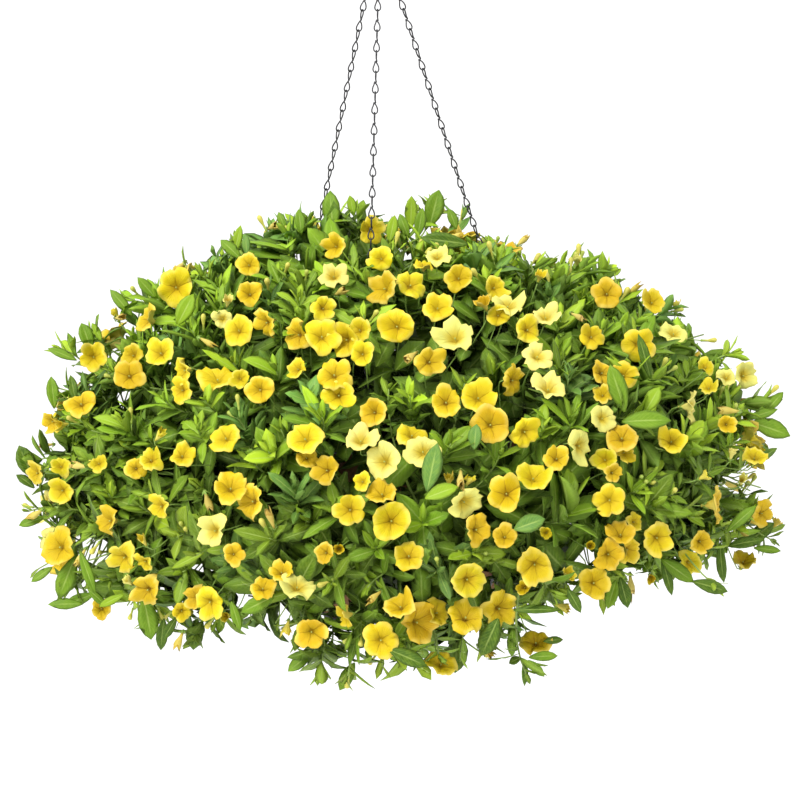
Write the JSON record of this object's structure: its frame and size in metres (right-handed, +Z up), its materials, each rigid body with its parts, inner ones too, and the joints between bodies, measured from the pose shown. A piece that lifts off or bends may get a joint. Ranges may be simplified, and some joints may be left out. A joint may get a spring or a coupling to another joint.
{
  "type": "calibrachoa hanging basket",
  "caption": "Hanging basket on chains and a wire hook, with a lined wire basket of soil under a wide drooping mound of yellow funnel-shaped blooms.",
  "frame": {"origin": "inside of the hook's bend, at its top, where the weight hangs", "axes": "+Z straight up through the hook, -Y the front of the picture's view, +X the picture's right"},
  "size_m": [0.693, 0.6548, 0.6937],
  "materials": {
    "black_wire": "satin",
    "coco_fibre": "matte",
    "potting_soil": "matte",
    "leaf_green": "satin",
    "petal_yellow": "satin"
  },
  "bodies": {
    "root": {"hook": "black_wire", "chain_front": "black_wire", "chain_right": "black_wire", "chain_left": "black_wire", "basket_frame": "black_wire", "liner": "coco_fibre", "soil": "potting_soil", "plant_right": "leaf_green", "plant_left": "leaf_green", "plant_back": "leaf_green"}
  },
  "joints": []
}
